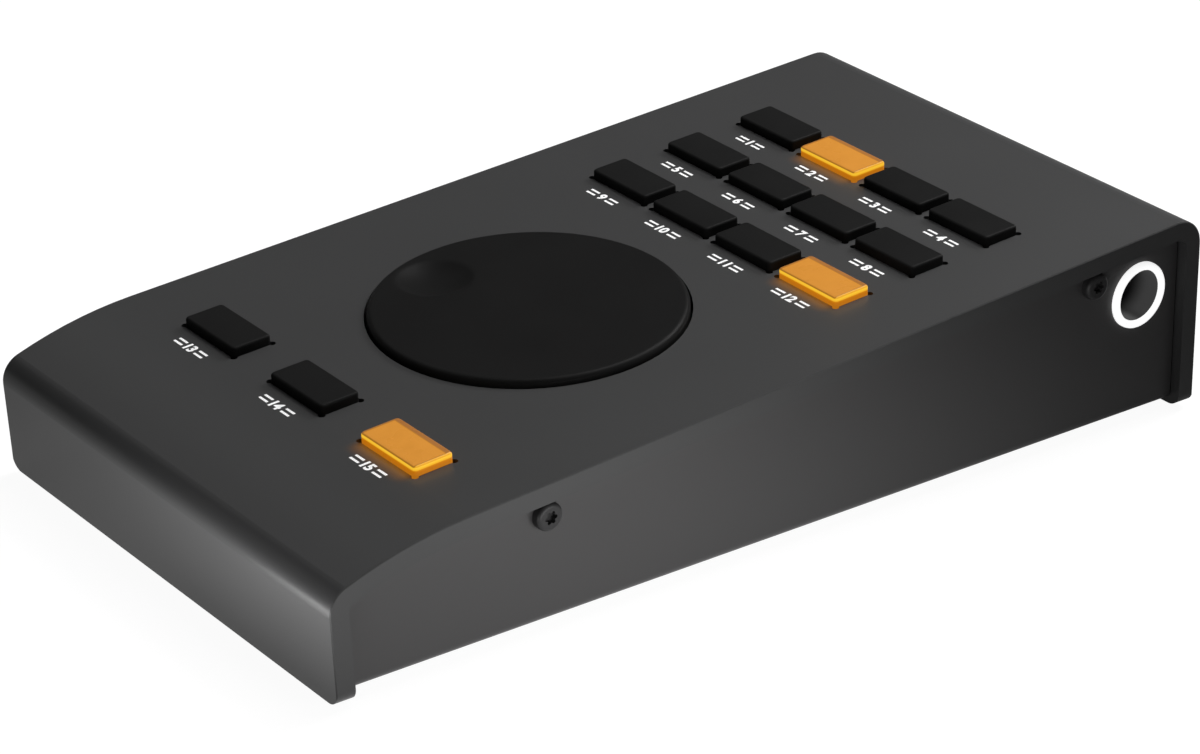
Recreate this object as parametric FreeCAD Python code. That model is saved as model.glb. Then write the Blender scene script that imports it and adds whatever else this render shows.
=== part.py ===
import FreeCAD, Part
import math
import os

# Desktop studio monitor controller: a bent aluminium cover over a folded base
# tray, fifteen lit keys, one large jog wheel and a jack socket on the right.
# Millimetres. +X is to the user's right, +Y to the rear, +Z up. The origin lies
# on the table under the middle of the footprint.
# Most pieces hang from the sloping top plate, so they are drawn in plate
# coordinates: x to the right, v up the slope, h square to the plate's top face.

V = FreeCAD.Vector
os.makedirs("parts", exist_ok=True)

# Overall size and the cover's bent sheet
cover_width = 107.7
cover_depth = 207.2
plate_height = 35.3            # top face above the table, over the origin
plate_slope = 4.3              # degrees, rising to the rear
sheet = 3.9
ground_gap = 1.0               # lower edge of the cover above the table
front_bend_radius = 5.0
rear_bend_radius = 6.4
crown_radius = 86.0            # gentle roll-off ahead of the front keys
crown_start_gap = 5.8          # ahead of the front row of keys
front_overbend = 0.9           # degrees past square to the plate
wall_corner_radius = 2.8
edge_break = 0.2

# Base tray
cheek_recess = 2.0             # cheeks sit this far inside the cover's edges
tray_sheet = 1.5
tray_lift = 1.15               # tray underside above the cover's lower edge
tray_bend_radius = 2.0
tray_clearance = 0.5
foot_radius = 5.0
foot_inset_x = 12.0
foot_inset_y = 15.0

# Keys
key_pitch = 19.0
key_rows = 3
key_columns = 4
rear_row_inset = 37.012        # rear row of keys from the rear wall's face
front_row_inset = 33.306        # front row of keys from the front of the footprint
front_pitch = 28.5
front_keys = 3
cap_length = 16.6
cap_width = 8.4
cap_corner = 0.55
cap_edge = 0.25
cap_rise = 1.85                # top of the cap above the plate
cap_wall = 0.75
cap_top = 0.65
flange_lip = 0.5               # how far the retaining flange stands out
flange_thick = 1.0
flange_gap = 0.15
key_travel = 0.5
window_gap = 0.25
relief_radius = 0.7            # round corner reliefs left by the cutter
core_fit = 0.08
stem_radius = 1.6
stem_length = 2.4
stem_clearance = 0.2

# Boards, standoffs and their screws
board_drop = 10.0              # top face of the main board below the plate
board_thick = 1.6
board_margin = 2.6             # the board stands out past the light frame
board_front_margin = 14.0      # ahead of the front row of keys
board_rear_margin = 13.4       # behind the rear row of keys
board_corner = 2.0
standoff_radius = 2.5
standoff_inset = 4.0           # pillar axis from the board's long edge
front_standoff_gap = 18.0      # behind the front row of keys
middle_standoff_gap = 14.1     # ahead of the near row of keys
rear_standoff_gap = 9.9        # behind the rear row of keys
small_screw_radius = 1.25
small_head_radius = 2.2
small_head_height = 1.5
small_screw_grip = 5.0
thread_clearance = 0.02
frame_wall = 0.9               # wall of the light frame at its outer edge
pocket_gap = 0.3
switch_side = 6.0
switch_height = 3.4
switch_well = 2.3
led_offset = 5.4
led_length = 2.0
led_width = 1.25
led_height = 0.9

# Jog wheel and its encoder
wheel_shift = 0.085            # wheel axis from midway between the near and front rows
wheel_radius = 30.25
wheel_gap = 0.5
wheel_rise = 1.4               # rim of the wheel above the plate
wheel_crown = 0.25             # the middle stands this much above the rim
wheel_edge_radius = 1.1
wheel_thick = 4.2
hub_radius = 6.0
hub_length = 5.0
dimple_x = -19.6
dimple_v = -7.4
dimple_radius = 7.5
dimple_depth = 1.8
shaft_radius = 3.0
shaft_fit = 0.03
shaft_running_gap = 0.05
shaft_grip = 6.2
encoder_side = 12.4
encoder_height = 8.0
bushing_radius = 3.5
bushing_clearance = 0.15
bushing_length = 3.6
nut_across = 10.0
nut_height = 1.8
grub_radius = 1.5

# Side screws
front_screw_gap = 12.2         # behind the front row of keys
rear_screw_gap = 9.6           # behind the rear row of keys
side_screw_drop = 6.95         # axis below the plate's top face
side_screw_radius = 1.5
side_head_radius = 2.75
side_head_height = 1.9
screw_end_cover = 1.5          # thread left in the block past the screw's end
lobe_circle = 0.95             # six-lobe driver recess
lobe_radius = 0.38
lobe_depth = 1.1
block_size = 8.0               # threaded block along the edge
block_gap = 3.6                # between a block and the light frame
block_height = 8.1

# Jack socket in the right cheek
jack_rear_gap = 14.957         # jack axis from the rear wall's face
jack_drop = 13.3
jack_bore_radius = 3.2
jack_back_wall = 4.0
jack_body_left_x = 21.0
jack_body_width = 16.0
sleeve_bore = 5.25
sleeve_wall = 0.65
sleeve_depth = 6.5             # from the cheek's outer face to the jack body
sleeve_proud = 0.4
ring_radius = 6.8
ring_proud = 1.2
ring_edge = 0.75
hole_clearance = 0.15

# Rear board with the data and power inlet
io_left_x = -16.0
io_side_gap = 4.0              # between the rear board and the right cheek
io_front_gap = 20.6            # ahead of the jack's axis
io_rear_gap = 1.0
io_standoff_x = (-12.5, 13.5)
io_standoff_gaps = (-6.0, 5.4) # from the jack's axis
inlet_width = 12.0
inlet_height = 11.0
inlet_length = 16.4
inlet_wall = 0.5
inlet_chamfer = 2.6
inlet_setback = 0.4
inlet_gap = 0.3
tongue_width = 5.6
tongue_height = 3.2
tongue_setback = 1.2
tongue_length = 9.0
header_half_length = 14.0
header_width = 5.0
header_gap = 16.1              # ahead of the jack's axis

# Places that follow from the sizes above
half_width = cover_width / 2
cheek_x = half_width - cheek_recess
cheek_inner_x = cheek_x - tray_sheet
tray_bottom_z = ground_gap + tray_lift
sin_t = math.sin(math.radians(plate_slope))
cos_t = math.cos(math.radians(plate_slope))


def world_of(v, h):
    """Plate coordinates to world y and z."""
    return v * cos_t - h * sin_t, plate_height + v * sin_t + h * cos_t


def plate_of(y, z):
    """World y and z to plate coordinates."""
    up = z - plate_height
    return y * cos_t + up * sin_t, up * cos_t - y * sin_t


rear_face_v = plate_of(cover_depth / 2, ground_gap)[0]
inner_face_v = rear_face_v - sheet
rear_row_v = rear_face_v - rear_row_inset
first_row_v = rear_row_v - (key_rows - 1) * key_pitch
front_row_v = front_row_inset - cover_depth / 2
crown_start_v = front_row_v - crown_start_gap
wheel_v = (first_row_v + front_row_v) / 2 + wheel_shift
side_screw_v = (front_row_v + front_screw_gap, rear_row_v + rear_screw_gap)

# The light frame sets the width of the board and the room for the screw blocks
frame_outer_x = (key_columns - 1) / 2 * key_pitch + cap_length / 2 + flange_lip + pocket_gap + frame_wall
board_half_width = frame_outer_x + board_margin
board_front_v = front_row_v - board_front_margin
board_rear_v = rear_row_v + board_rear_margin
standoff_x = board_half_width - standoff_inset
standoff_rows = (front_row_v + front_standoff_gap, first_row_v - middle_standoff_gap, rear_row_v + rear_standoff_gap)
block_width = cheek_inner_x - frame_outer_x - block_gap
side_screw_grip = block_width - screw_end_cover

# The jack sits against the right cheek, ahead of the rear wall
jack_v = rear_face_v - jack_rear_gap
jack_body_length = cheek_x - sleeve_depth - jack_body_left_x
jack_bore_depth = jack_body_length - jack_back_wall
io_right_x = cheek_inner_x - io_side_gap
io_front_v = jack_v - io_front_gap
io_standoff_v = [jack_v + gap for gap in io_standoff_gaps]
header_v = jack_v - header_gap
io_rear_v = inner_face_v - io_rear_gap
io_top_h = -jack_drop - jack_body_width / 2 - 0.3
main_top_h = -board_drop
main_under_h = main_top_h - board_thick


def on_plate(shape):
    """Move a shape from plate coordinates to its place on the object."""
    placed = shape.copy()
    placed.rotate(V(0, 0, 0), V(1, 0, 0), plate_slope)
    placed.translate(V(0, 0, plate_height))
    return placed


def block(x0, x1, v0, v1, h0, h1):
    """Box between two corners."""
    return Part.makeBox(x1 - x0, v1 - v0, h1 - h0, V(x0, v0, h0))


def rounded_block(x, v, length, width, corner, h0, h1):
    """Upright prism on a rectangle with round corners, centred on x and v."""
    body = block(x - length / 2, x + length / 2, v - width / 2, v + width / 2, h0, h1)
    upright = [e for e in body.Edges if abs(e.tangentAt(e.FirstParameter).z) > 0.9]
    return body.makeFillet(corner, upright)


def disc(radius, x, v, h0, h1):
    """Upright cylinder."""
    return Part.makeCylinder(radius, h1 - h0, V(x, v, h0))


def rod(radius, x0, x1, v, h):
    """Cylinder along X."""
    return Part.makeCylinder(radius, x1 - x0, V(x0, v, h), V(1, 0, 0))


def turned(outline, x, v):
    """Solid of revolution about the plate's normal from points of radius and height."""
    points = [V(radius, 0, height) for radius, height in outline]
    face = Part.Face(Part.makePolygon(points + points[:1]))
    solid = face.revolve(V(0, 0, 0), V(0, 0, 1), 360)
    solid.translate(V(x, v, 0))
    return solid


def key_places():
    """Centres of the keys: rear row first, left to right, the front row last."""
    places = []
    for row in reversed(range(key_rows)):
        for column in range(key_columns):
            x = (column - (key_columns - 1) / 2) * key_pitch
            places.append((x, first_row_v + row * key_pitch))
    for column in range(front_keys):
        places.append(((column - (front_keys - 1) / 2) * front_pitch, front_row_v))
    return places


def side_outline(inset, floor_z):
    """Face in the YZ plane: the cover's side outline drawn in by inset, cut level at floor_z."""
    front_bend = front_bend_radius - inset
    rear_bend = rear_bend_radius - inset
    crown = crown_radius - inset
    crown_y, crown_z = world_of(crown_start_v, -crown_radius)
    # the front bend touches the crown from inside and the front of the footprint
    bend_y = -cover_depth / 2 + front_bend_radius
    reach = crown_radius - front_bend_radius
    bend_z = crown_z + math.sqrt(reach ** 2 - (bend_y - crown_y) ** 2)
    toward_y = (bend_y - crown_y) / reach
    toward_z = (bend_z - crown_z) / reach
    lean = math.radians(plate_slope + front_overbend)
    slope = math.radians(plate_slope)
    rear_y, rear_z = world_of(rear_face_v - rear_bend_radius, -rear_bend_radius)

    def polar(y, z, radius, angle):
        return V(0, y + radius * math.cos(angle), z + radius * math.sin(angle))

    wall_top = polar(bend_y, bend_z, front_bend, math.pi + lean)
    drop = wall_top.z - floor_z
    wall_foot = V(0, wall_top.y + drop * math.tan(lean), floor_z)
    blend_angle = math.atan2(toward_z, toward_y)
    bend_middle = polar(bend_y, bend_z, front_bend, (math.pi + lean + blend_angle) / 2)
    blend = V(0, crown_y + crown * toward_y, crown_z + crown * toward_z)
    flat_angle = math.pi / 2 + slope
    crown_middle = polar(crown_y, crown_z, crown, (blend_angle + flat_angle) / 2)
    flat_front = polar(crown_y, crown_z, crown, flat_angle)
    flat_rear = polar(rear_y, rear_z, rear_bend, flat_angle)
    rear_middle = polar(rear_y, rear_z, rear_bend, slope + math.pi / 4)
    rear_top = polar(rear_y, rear_z, rear_bend, slope)
    rear_drop = rear_top.z - floor_z
    rear_foot = V(0, rear_top.y + rear_drop * math.tan(slope), floor_z)
    edges = [
        Part.makeLine(wall_foot, wall_top),
        Part.Arc(wall_top, bend_middle, blend).toShape(),
        Part.Arc(blend, crown_middle, flat_front).toShape(),
        Part.makeLine(flat_front, flat_rear),
        Part.Arc(flat_rear, rear_middle, rear_top).toShape(),
        Part.makeLine(rear_top, rear_foot),
        Part.makeLine(rear_foot, wall_foot),
    ]
    return Part.Face(Part.Wire(edges))


def prism(face, half):
    """Extrude a YZ face evenly to both sides of the middle plane."""
    moved = face.copy()
    moved.translate(V(-half, 0, 0))
    return moved.extrude(V(2 * half, 0, 0))


def key_window(x, v):
    """Cutter for one key: a rectangle with round reliefs at its corners."""
    half_l = cap_length / 2 + window_gap
    half_w = cap_width / 2 + window_gap
    cutter = block(x - half_l, x + half_l, v - half_w, v + half_w, -2 * sheet, sheet)
    shift = relief_radius * 0.35
    for side in (-1, 1):
        for end in (-1, 1):
            relief = disc(relief_radius, x + side * (half_l - shift), v + end * (half_w - shift), -2 * sheet, sheet)
            cutter = cutter.fuse(relief)
    return cutter


def corner_cutters():
    """Round off the lower corners of the front and rear walls, seen from the front."""
    cutters = []
    radius = wall_corner_radius
    for side in (-1, 1):
        axis_x = side * (half_width - radius)
        far_x = side * (half_width + 1)
        square = block(min(axis_x, far_x), max(axis_x, far_x), -cover_depth, cover_depth,
                       ground_gap - 1, ground_gap + radius)
        keep = Part.makeCylinder(radius, 2 * cover_depth, V(axis_x, -cover_depth, ground_gap + radius), V(0, 1, 0))
        cutters.append(square.cut(keep))
    return cutters


def make_top_cover():
    """One bent sheet: front wall, crown, sloping plate and rear wall."""
    outer = prism(side_outline(0, ground_gap), half_width)
    rim = [e for e in outer.Edges
           if abs(abs(e.BoundBox.XMin) - half_width) < 0.01 and e.BoundBox.XLength < 0.01
           and e.BoundBox.ZMax > ground_gap + 0.5]
    outer = outer.makeChamfer(edge_break, rim)
    inner = prism(side_outline(sheet, ground_gap - sheet), half_width + sheet)
    cutters = [on_plate(key_window(x, v)) for x, v in key_places()]
    cutters.append(on_plate(disc(wheel_radius + wheel_gap, 0, wheel_v, -2 * sheet, sheet)))
    low = io_top_h - inlet_gap
    mouth = block(-inlet_width / 2 - inlet_gap, inlet_width / 2 + inlet_gap,
                  inner_face_v - 1, rear_face_v + 1, low, low + inlet_height + 2 * inlet_gap)
    cutters.append(on_plate(mouth))
    return outer.cut([inner] + cutters + corner_cutters())


def side_axes():
    """Places of the four side screws: side and plate coordinate."""
    return [(side, v) for side in (-1, 1) for v in side_screw_v]


def make_base_tray():
    """Folded tray: a floor and two cheeks that fill the cover's open sides."""
    floor_rise = 4 * plate_height
    outer = block(-cheek_x, cheek_x, -cover_depth, cover_depth, tray_bottom_z, floor_rise)
    inner = block(-cheek_inner_x, cheek_inner_x, -cover_depth, cover_depth, tray_bottom_z + tray_sheet, floor_rise)

    def lengthwise(body, x):
        return [e for e in body.Edges if abs(e.tangentAt(e.FirstParameter).y) > 0.9
                and e.BoundBox.ZMax < tray_bottom_z + 2 * tray_sheet and abs(abs(e.BoundBox.XMin) - x) < 0.01]

    outer = outer.makeFillet(tray_bend_radius, lengthwise(outer, cheek_x))
    inner = inner.makeFillet(tray_bend_radius - tray_sheet, lengthwise(inner, cheek_inner_x))
    channel = outer.cut(inner)
    room = prism(side_outline(sheet + tray_clearance, tray_bottom_z - 1), cover_width)
    tray = channel.common(room)
    holes = []
    for side, v in side_axes():
        near, far = sorted((side * (cheek_inner_x - 1), side * (cheek_x + 1)))
        holes.append(on_plate(rod(side_screw_radius + hole_clearance, near, far, v, -side_screw_drop)))
    sleeve_hole = sleeve_bore + sleeve_wall + hole_clearance
    holes.append(on_plate(rod(sleeve_hole, cheek_inner_x - 1, cheek_x + 1, jack_v, -jack_drop)))
    return tray.cut(holes)


def make_rubber_feet():
    """Four round feet under the corners of the tray."""
    feet = []
    for side in (-1, 1):
        for end in (-1, 1):
            place = V(side * (half_width - foot_inset_x), end * (cover_depth / 2 - foot_inset_y), 0)
            foot = Part.makeCylinder(foot_radius, tray_bottom_z, place)
            sole = [e for e in foot.Edges if e.BoundBox.ZMax < 0.01]
            feet.append(foot.makeFillet(0.6, sole))
    return Part.makeCompound(feet)


def make_side_screws():
    """Pan-head screws with a six-lobe recess, two in each cheek."""
    screws = []
    for side, v in side_axes():
        head = Part.makeCylinder(side_head_radius, side_head_height, V(0, 0, 0), V(1, 0, 0))
        crown = [e for e in head.Edges if abs(e.BoundBox.XMin - side_head_height) < 0.01 and e.BoundBox.XLength < 0.01]
        head = head.makeFillet(0.8, crown)
        shank = Part.makeCylinder(side_screw_radius, tray_sheet + side_screw_grip,
                                  V(-tray_sheet - side_screw_grip, 0, 0), V(1, 0, 0))
        recess = Part.makeCylinder(lobe_circle, lobe_depth + 1, V(side_head_height - lobe_depth, 0, 0), V(1, 0, 0))
        lobes = []
        for step in range(6):
            angle = math.radians(60 * step)
            start = V(side_head_height - lobe_depth, lobe_circle * math.cos(angle), lobe_circle * math.sin(angle))
            lobes.append(Part.makeCylinder(lobe_radius, lobe_depth + 1, start, V(1, 0, 0)))
        screw = head.fuse(shank).removeSplitter().cut(recess.fuse(lobes))
        if side < 0:
            screw.rotate(V(0, 0, 0), V(0, 0, 1), 180)
        screw.translate(V(side * cheek_x, v, -side_screw_drop))
        screws.append(on_plate(screw))
    return Part.makeCompound(screws)


def make_screw_blocks():
    """Threaded blocks fixed under the plate, one behind each side screw."""
    blocks = []
    for side, v in side_axes():
        near, far = sorted((side * (cheek_inner_x - block_width), side * cheek_inner_x))
        body = block(near, far, v - block_size / 2, v + block_size / 2, -sheet - block_height, -sheet)
        tapped = rod(side_screw_radius + thread_clearance, near, far, v, -side_screw_drop)
        blocks.append(on_plate(body.cut(tapped)))
    return Part.makeCompound(blocks)


def make_key_cap(x, v):
    """Moulded cap: a shell with a broken top edge and a flange that holds it under the plate."""
    flange_top = -sheet - flange_gap
    flange_foot = flange_top - flange_thick
    skirt = rounded_block(x, v, cap_length, cap_width, cap_corner, flange_foot, cap_rise)
    crown = [e for e in skirt.Edges if e.BoundBox.ZMin > cap_rise - 0.01]
    skirt = skirt.makeFillet(cap_edge, crown)
    flange = rounded_block(x, v, cap_length + 2 * flange_lip, cap_width + 2 * flange_lip, cap_corner,
                           flange_foot, flange_top)
    hollow = block(x - cap_length / 2 + cap_wall, x + cap_length / 2 - cap_wall,
                   v - cap_width / 2 + cap_wall, v + cap_width / 2 - cap_wall,
                   flange_foot - 1, cap_rise - cap_top)
    return on_plate(skirt.fuse(flange).removeSplitter().cut(hollow))


def make_key_core(x, v):
    """Light block inside the cap, with the stem that works the switch."""
    foot = -sheet - flange_gap - flange_thick - 0.5
    inset = cap_wall + core_fit
    core = block(x - cap_length / 2 + inset, x + cap_length / 2 - inset,
                 v - cap_width / 2 + inset, v + cap_width / 2 - inset, foot, cap_rise - cap_top)
    stem = disc(stem_radius, x, v, foot - stem_length, foot)
    return on_plate(core.fuse(stem))


def make_key_switches():
    """Tactile switch housings on the main board, one under each key."""
    housings = []
    half = switch_side / 2
    top = main_top_h + switch_height
    for x, v in key_places():
        body = block(x - half, x + half, v - half, v + half, main_top_h, top)
        well = disc(stem_radius + stem_clearance, x, v, top - switch_well, top + 1)
        housings.append(on_plate(body.cut(well)))
    return Part.makeCompound(housings)


def make_key_leds():
    """Two small lamps beside each switch."""
    lamps = []
    for x, v in key_places():
        for side in (-1, 1):
            centre = x + side * led_offset
            lamps.append(on_plate(block(centre - led_length / 2, centre + led_length / 2,
                                        v - led_width / 2, v + led_width / 2,
                                        main_top_h, main_top_h + led_height)))
    return Part.makeCompound(lamps)


def make_light_frame(places):
    """Opaque frame between plate and board, with one pocket for each of the given keys."""
    half_l = cap_length / 2 + flange_lip + pocket_gap
    half_w = cap_width / 2 + flange_lip + pocket_gap
    left = min(x for x, v in places) - half_l - frame_wall
    right = max(x for x, v in places) + half_l + frame_wall
    front = min(v for x, v in places) - half_w - frame_wall
    rear = max(v for x, v in places) + half_w + frame_wall
    frame = block(left, right, front, rear, main_top_h, -sheet)
    pockets = [block(x - half_l, x + half_l, v - half_w, v + half_w, main_top_h - 1, -sheet + 1) for x, v in places]
    return on_plate(frame.cut(pockets))


def standoff_places():
    """The main board's six fixing points."""
    return [(side * standoff_x, v) for side in (-1, 1) for v in standoff_rows]


def io_places():
    """The rear board's four fixing points."""
    return [(x, v) for x in io_standoff_x for v in io_standoff_v]


def make_standoffs(places, foot_h):
    """Threaded pillars fixed under the plate that carry a board at foot_h."""
    pillars = []
    for x, v in places:
        pillar = disc(standoff_radius, x, v, foot_h, -sheet)
        tapped = disc(small_screw_radius + thread_clearance, x, v, foot_h - 1, foot_h + small_screw_grip)
        pillars.append(on_plate(pillar.cut(tapped)))
    return Part.makeCompound(pillars)


def make_board_screws(places, under_h):
    """Small pan-head screws driven up through a board into the pillars."""
    screws = []
    for x, v in places:
        head = disc(small_head_radius, x, v, under_h - small_head_height, under_h)
        shank = disc(small_screw_radius, x, v, under_h, under_h + board_thick + small_screw_grip - 0.5)
        slot = block(x - small_head_radius * 0.6, x + small_head_radius * 0.6, v - 0.3, v + 0.3,
                     under_h - small_head_height, under_h - small_head_height / 2)
        screws.append(on_plate(head.fuse(shank).cut(slot)))
    return Part.makeCompound(screws)


def make_main_board():
    """Circuit board that carries the switches, lamps and encoder."""
    length = board_rear_v - board_front_v
    board = rounded_block(0, board_front_v + length / 2, 2 * board_half_width, length, board_corner,
                          main_under_h, main_top_h)
    holes = [disc(bushing_radius + bushing_clearance, 0, wheel_v, main_under_h - 1, main_top_h + 1)]
    for x, v in standoff_places():
        holes.append(disc(small_screw_radius + hole_clearance, x, v, main_under_h - 1, main_top_h + 1))
    return on_plate(board.cut(holes))


def make_encoder_body():
    """Rotary encoder under the board, its threaded bushing up through it."""
    half = encoder_side / 2
    foot = main_under_h - encoder_height
    body = block(-half, half, wheel_v - half, wheel_v + half, foot, main_under_h)
    bushing = disc(bushing_radius, 0, wheel_v, main_under_h, main_under_h + bushing_length)
    bore = disc(shaft_radius + shaft_running_gap, 0, wheel_v, foot + 1.0, main_under_h + bushing_length + 1)
    return on_plate(body.fuse(bushing).cut(bore))


def make_encoder_nut():
    """Thin hexagonal nut that clamps the bushing to the board."""
    radius = nut_across / 2 / math.cos(math.radians(30))
    corners = [V(radius * math.cos(math.radians(60 * k)), wheel_v + radius * math.sin(math.radians(60 * k)), main_top_h)
               for k in range(6)]
    nut = Part.Face(Part.makePolygon(corners + corners[:1])).extrude(V(0, 0, nut_height))
    tapped = disc(bushing_radius + thread_clearance, 0, wheel_v, main_top_h - 1, main_top_h + nut_height + 1)
    return on_plate(nut.cut(tapped))


def wheel_foot():
    """Height of the underside of the wheel's disc."""
    return wheel_rise - wheel_thick


def shaft_top():
    """Height of the end of the encoder's shaft, inside the hub."""
    return wheel_foot() - hub_length + shaft_grip


def make_encoder_shaft():
    """Shaft that turns in the bushing and carries the wheel."""
    return on_plate(disc(shaft_radius, 0, wheel_v, main_under_h - encoder_height + 1.5, shaft_top()))


def make_jog_wheel():
    """Turned disc with a softly crowned top, a round edge, a hub and one finger dimple."""
    foot = wheel_foot()
    edge = wheel_edge_radius
    crown_sphere = (wheel_radius ** 2 + wheel_crown ** 2) / (2 * wheel_crown)
    shoulder = wheel_radius - edge
    # the crown's own height where the rounded edge takes over
    drop = crown_sphere - math.sqrt(crown_sphere ** 2 - shoulder ** 2)
    top_z = wheel_rise + wheel_crown
    half = shoulder / 2
    half_drop = crown_sphere - math.sqrt(crown_sphere ** 2 - half ** 2)
    diagonal = edge * math.sqrt(0.5)
    shoulder_z = top_z - drop
    bore = shaft_radius + shaft_fit
    outline = [
        Part.makeLine(V(0, 0, shaft_top()), V(0, 0, top_z)),
        Part.Arc(V(0, 0, top_z), V(half, 0, top_z - half_drop), V(shoulder, 0, shoulder_z)).toShape(),
        Part.Arc(V(shoulder, 0, shoulder_z),
                 V(shoulder + diagonal, 0, shoulder_z - edge + diagonal),
                 V(wheel_radius, 0, shoulder_z - edge)).toShape(),
        Part.makePolygon([V(wheel_radius, 0, shoulder_z - edge), V(wheel_radius, 0, foot), V(hub_radius, 0, foot),
                          V(hub_radius, 0, foot - hub_length), V(bore, 0, foot - hub_length),
                          V(bore, 0, shaft_top()), V(0, 0, shaft_top())]),
    ]
    wire = Part.Wire([e for shape in outline for e in shape.Edges])
    wheel = Part.Face(wire).revolve(V(0, 0, 0), V(0, 0, 1), 360)
    ball = (dimple_radius ** 2 + dimple_depth ** 2) / (2 * dimple_depth)
    away = math.hypot(dimple_x, dimple_v)
    surface = top_z - (crown_sphere - math.sqrt(crown_sphere ** 2 - away ** 2))
    wheel = wheel.cut(Part.makeSphere(ball, V(dimple_x, dimple_v, surface - dimple_depth + ball)))
    wheel = wheel.cut(rod(grub_radius + thread_clearance, 0, hub_radius + 1, 0, foot - hub_length / 2))
    wheel.translate(V(0, wheel_v, 0))
    return on_plate(wheel)


def make_wheel_grub_screw():
    """Headless screw in the hub that grips the shaft."""
    return on_plate(rod(grub_radius, shaft_radius, hub_radius, wheel_v, wheel_foot() - hub_length / 2))


def make_io_board():
    """Rear circuit board for the jack and the inlet."""
    under = io_top_h - board_thick
    board = rounded_block((io_left_x + io_right_x) / 2, (io_front_v + io_rear_v) / 2,
                          io_right_x - io_left_x, io_rear_v - io_front_v, board_corner, under, io_top_h)
    holes = [disc(small_screw_radius + hole_clearance, x, v, under - 1, io_top_h + 1) for x, v in io_places()]
    return on_plate(board.cut(holes))


def make_board_header():
    """Stacking connector that joins the two boards."""
    return on_plate(block(-header_half_length, header_half_length, header_v - header_width / 2,
                          header_v + header_width / 2, io_top_h, main_under_h))


def make_jack_body():
    """Moulded jack socket on the rear board, bored along X for the plug."""
    front = cheek_x - sleeve_depth
    half = jack_body_width / 2
    body = block(front - jack_body_length, front, jack_v - half, jack_v + half, io_top_h, -jack_drop + half)
    bore = rod(jack_bore_radius, front - jack_bore_depth, front + 1, jack_v, -jack_drop)
    return on_plate(body.cut(bore))


def make_jack_sleeve():
    """Metal tube from the jack body out through the cheek."""
    outer = rod(sleeve_bore + sleeve_wall, cheek_x - sleeve_depth, cheek_x + sleeve_proud, jack_v, -jack_drop)
    bore = rod(sleeve_bore, cheek_x - sleeve_depth - 1, cheek_x + sleeve_proud + 1, jack_v, -jack_drop)
    return on_plate(outer.cut(bore))


def make_jack_ring():
    """Ring nut on the sleeve's end, with a lip that covers the end face."""
    ring = rod(ring_radius, cheek_x, cheek_x + ring_proud, jack_v, -jack_drop)
    bore = rod(sleeve_bore, cheek_x - 1, cheek_x + ring_proud + 1, jack_v, -jack_drop)
    seat = rod(sleeve_bore + sleeve_wall + thread_clearance, cheek_x - 1, cheek_x + sleeve_proud, jack_v, -jack_drop)
    ring = ring.cut(bore)
    face = [e for e in ring.Edges if abs(e.BoundBox.XMin - cheek_x - ring_proud) < 0.01 and e.BoundBox.XLength < 0.01]
    return on_plate(ring.makeFillet(ring_edge, face).cut(seat))


def inlet_section(grow):
    """Outline of the inlet, square with two bevelled upper corners, drawn in by grow."""
    half = inlet_width / 2 - grow
    low = io_top_h + grow
    high = io_top_h + inlet_height - grow
    bevel = inlet_chamfer - grow * (2 - math.sqrt(2))
    corners = [(-half, low), (half, low), (half, high - bevel), (half - bevel, high),
               (bevel - half, high), (-half, high - bevel)]
    return [V(x, 0, h) for x, h in corners]


def make_inlet_shell():
    """Folded metal shell of the square data and power inlet in the rear wall."""
    rear = rear_face_v - inlet_setback
    outer = Part.Face(Part.makePolygon(inlet_section(0) + inlet_section(0)[:1])).extrude(V(0, inlet_length, 0))
    inner = Part.Face(Part.makePolygon(inlet_section(inlet_wall) + inlet_section(inlet_wall)[:1]))
    inner = inner.extrude(V(0, 2 * inlet_length, 0))
    shell = outer.cut(inner)
    shell.translate(V(0, rear - inlet_length, 0))
    return on_plate(shell)


def make_inlet_core():
    """Moulded insert of the inlet: a back block and the contact tongue."""
    rear = rear_face_v - inlet_setback
    back = inlet_length - tongue_length - tongue_setback
    section = inlet_section(inlet_wall)
    insert = Part.Face(Part.makePolygon(section + section[:1])).extrude(V(0, back, 0))
    insert.translate(V(0, rear - inlet_length, 0))
    middle = io_top_h + inlet_height / 2
    tongue = block(-tongue_width / 2, tongue_width / 2, rear - inlet_length + back, rear - tongue_setback,
                   middle - tongue_height / 2, middle + tongue_height / 2)
    return on_plate(insert.fuse(tongue))


def make_all():
    """Every node of the assembly by name."""
    grid = key_places()[:key_rows * key_columns]
    front = key_places()[key_rows * key_columns:]
    nodes = {
        "top_cover": make_top_cover(),
        "base_tray": make_base_tray(),
        "rubber_feet": make_rubber_feet(),
        "side_screws": make_side_screws(),
        "screw_blocks": make_screw_blocks(),
        "key_switches": make_key_switches(),
        "key_lamps": make_key_leds(),
        "rear_light_frame": make_light_frame(grid),
        "front_light_frame": make_light_frame(front),
        "main_board": make_main_board(),
        "board_standoffs": make_standoffs(standoff_places(), main_top_h),
        "board_screws": make_board_screws(standoff_places(), main_under_h),
        "encoder_body": make_encoder_body(),
        "encoder_nut": make_encoder_nut(),
        "encoder_shaft": make_encoder_shaft(),
        "jog_wheel": make_jog_wheel(),
        "wheel_grub_screw": make_wheel_grub_screw(),
        "io_board": make_io_board(),
        "io_standoffs": make_standoffs(io_places(), io_top_h),
        "io_screws": make_board_screws(io_places(), io_top_h - board_thick),
        "board_header": make_board_header(),
        "jack_body": make_jack_body(),
        "jack_sleeve": make_jack_sleeve(),
        "jack_ring": make_jack_ring(),
        "inlet_shell": make_inlet_shell(),
        "inlet_core": make_inlet_core(),
    }
    for number, (x, v) in enumerate(key_places(), start=1):
        nodes["key_cap_%02d" % number] = make_key_cap(x, v)
        nodes["key_core_%02d" % number] = make_key_core(x, v)
    return nodes


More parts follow.
